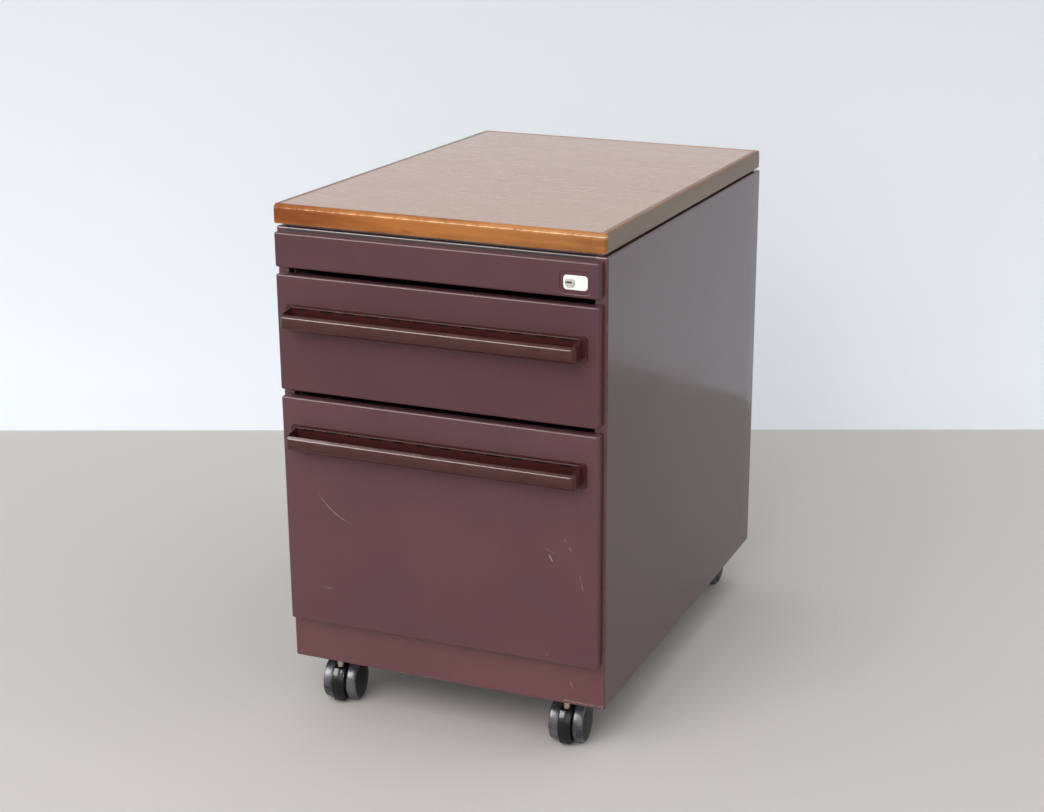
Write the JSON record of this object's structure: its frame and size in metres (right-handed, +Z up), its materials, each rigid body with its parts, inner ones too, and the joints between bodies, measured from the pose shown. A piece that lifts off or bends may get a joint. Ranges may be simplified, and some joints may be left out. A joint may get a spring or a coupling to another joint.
{
  "type": "mobile desk pedestal",
  "caption": "Painted steel desk pedestal on swivel casters, with a locking pencil drawer, a box drawer and a hanging-file drawer under a lipped wooden top.",
  "frame": {"origin": "on the floor, under the middle of the whole piece's outline", "axes": "+X to the right as seen from the front, +Y to the back, +Z up; the drawers open towards -Y"},
  "size_m": [0.403, 0.608, 0.614],
  "materials": {
    "case_paint": "semi-gloss powder coat, purple-brown",
    "drawer_paint": "semi-gloss powder coat, purple-brown, fine orange peel",
    "board_veneer": "satin lacquered veneer on chipboard",
    "board_lipping": "satin lacquered solid lipping, worn edges",
    "zinc_steel": "bright zinc plate",
    "slide_steel": "zinc plate, lightly greased",
    "runner_plastic": "matt moulded",
    "handle_plastic": "glossy moulded, brown",
    "lock_plate_plastic": "satin moulded, white",
    "lock_nickel": "dull nickel plate",
    "caster_plastic": "semi-gloss moulded, black",
    "wheel_plastic": "moulded nylon, dusty tread"
  },
  "bodies": {
    "case": {"left_side_panel": "case_paint", "right_side_panel": "case_paint", "back_panel": "case_paint", "front_rail": "case_paint", "plinth": "case_paint", "base_pan": "case_paint", "top_pan": "case_paint", "board_core": "board_veneer", "front_lipping": "board_lipping", "left_lipping": "board_lipping", "right_lipping": "board_lipping", "rear_lipping": "board_lipping", "board_screws": "zinc_steel", "left_slide_frame": "zinc_steel", "right_slide_frame": "zinc_steel", "front_caster_channel": "zinc_steel", "rear_caster_channel": "zinc_steel", "caster_stems": "zinc_steel", "pencil_left_runner": "runner_plastic", "pencil_right_runner": "runner_plastic", "box_left_outer_slide": "slide_steel", "box_right_outer_slide": "slide_steel", "file_left_outer_slide": "slide_steel", "file_right_outer_slide": "slide_steel"},
    "pencil_drawer": {"pencil_front": "drawer_paint", "pencil_tray": "runner_plastic", "lock_plate": "lock_plate_plastic", "lock_housing": "lock_nickel"},
    "lock": {"lock_barrel": "lock_nickel", "lock_cam": "zinc_steel"},
    "lock_bar": {"lock_bar": "zinc_steel"},
    "box_drawer": {"box_front": "drawer_paint", "box_tray": "drawer_paint", "box_handle": "handle_plastic", "box_left_inner_slide": "slide_steel", "box_right_inner_slide": "slide_steel"},
    "file_middle_slides": {"file_left_middle_slide": "slide_steel", "file_right_middle_slide": "slide_steel"},
    "file_drawer": {"file_front": "drawer_paint", "file_tray": "drawer_paint", "file_handle": "handle_plastic", "hanging_file_rails": "zinc_steel", "file_left_inner_slide": "slide_steel", "file_right_inner_slide": "slide_steel"},
    "front_left_caster": {"front_left_caster_hood": "caster_plastic", "front_left_caster_axle": "zinc_steel"},
    "front_left_left_wheel": {"front_left_caster_left_wheel": "wheel_plastic"},
    "front_left_right_wheel": {"front_left_caster_right_wheel": "wheel_plastic"},
    "front_right_caster": {"front_right_caster_hood": "caster_plastic", "front_right_caster_axle": "zinc_steel"},
    "front_right_left_wheel": {"front_right_caster_left_wheel": "wheel_plastic"},
    "front_right_right_wheel": {"front_right_caster_right_wheel": "wheel_plastic"},
    "rear_left_caster": {"rear_left_caster_hood": "caster_plastic", "rear_left_caster_axle": "zinc_steel"},
    "rear_left_left_wheel": {"rear_left_caster_left_wheel": "wheel_plastic"},
    "rear_left_right_wheel": {"rear_left_caster_right_wheel": "wheel_plastic"},
    "rear_right_caster": {"rear_right_caster_hood": "caster_plastic", "rear_right_caster_axle": "zinc_steel"},
    "rear_right_left_wheel": {"rear_right_caster_left_wheel": "wheel_plastic"},
    "rear_right_right_wheel": {"rear_right_caster_right_wheel": "wheel_plastic"}
  },
  "joints": [
    {"name": "pencil_slide", "type": "slide", "parent": "case", "child": "pencil_drawer", "axis": [0, -1, 0], "range_m": [0, 0.3]},
    {"name": "box_slide", "type": "slide", "parent": "case", "child": "box_drawer", "axis": [0, -1, 0], "range_m": [0, 0.36]},
    {"name": "file_slide", "type": "slide", "parent": "case", "child": "file_drawer", "axis": [0, -1, 0], "range_m": [0, 0.44]},
    {"name": "file_middle_slide", "type": "slide", "parent": "case", "child": "file_middle_slides", "axis": [0, -1, 0], "range_m": [0, 0.22]},
    {"name": "lock_turn", "type": "hinge", "parent": "pencil_drawer", "child": "lock", "pos_m": [0.1625, -0.2518, 0.5615], "axis": [0, -1, 0], "range_deg": [0, 90]},
    {"name": "lock_bar_lift", "type": "slide", "parent": "case", "child": "lock_bar", "axis": [0, 0, 1], "range_m": [0, 0.008]},
    {"name": "front_left_swivel", "type": "hinge", "parent": "case", "child": "front_left_caster", "pos_m": [-0.148, -0.249, 0.05], "axis": [0, 0, 1], "continuous": true},
    {"name": "front_left_left_wheel_spin", "type": "hinge", "parent": "front_left_caster", "child": "front_left_left_wheel", "pos_m": [-0.1642, -0.23613, 0.025], "axis": [0.9903, 0.1392, 0], "continuous": true},
    {"name": "front_left_right_wheel_spin", "type": "hinge", "parent": "front_left_caster", "child": "front_left_right_wheel", "pos_m": [-0.13598, -0.23216, 0.025], "axis": [0.9903, 0.1392, 0], "continuous": true},
    {"name": "front_right_swivel", "type": "hinge", "parent": "case", "child": "front_right_caster", "pos_m": [0.148, -0.249, 0.05], "axis": [0, 0, 1], "continuous": true},
    {"name": "front_right_left_wheel_spin", "type": "hinge", "parent": "front_right_caster", "child": "front_right_left_wheel", "pos_m": [0.1325, -0.2353, 0.025], "axis": [0.9962, 0.0872, 0], "continuous": true},
    {"name": "front_right_right_wheel_spin", "type": "hinge", "parent": "front_right_caster", "child": "front_right_right_wheel", "pos_m": [0.16089, -0.23282, 0.025], "axis": [0.9962, 0.0872, 0], "continuous": true},
    {"name": "rear_left_swivel", "type": "hinge", "parent": "case", "child": "rear_left_caster", "pos_m": [-0.148, 0.252, 0.05], "axis": [0, 0, 1], "continuous": true},
    {"name": "rear_left_left_wheel_spin", "type": "hinge", "parent": "rear_left_caster", "child": "rear_left_left_wheel", "pos_m": [-0.16225, 0.267, 0.025], "axis": [1, 0, 0], "continuous": true},
    {"name": "rear_left_right_wheel_spin", "type": "hinge", "parent": "rear_left_caster", "child": "rear_left_right_wheel", "pos_m": [-0.13375, 0.267, 0.025], "axis": [1, 0, 0], "continuous": true},
    {"name": "rear_right_swivel", "type": "hinge", "parent": "case", "child": "rear_right_caster", "pos_m": [0.148, 0.252, 0.05], "axis": [0, 0, 1], "continuous": true},
    {"name": "rear_right_left_wheel_spin", "type": "hinge", "parent": "rear_right_caster", "child": "rear_right_left_wheel", "pos_m": [0.13375, 0.267, 0.025], "axis": [1, 0, 0], "continuous": true},
    {"name": "rear_right_right_wheel_spin", "type": "hinge", "parent": "rear_right_caster", "child": "rear_right_right_wheel", "pos_m": [0.16225, 0.267, 0.025], "axis": [1, 0, 0], "continuous": true}
  ],
  "couplings": [
    {"joint": "file_middle_slide", "follows": "file_slide", "ratio": 0.5},
    {"joint": "lock_turn", "follows": "lock_bar_lift", "rad_per_m": 196.35}
  ]
}
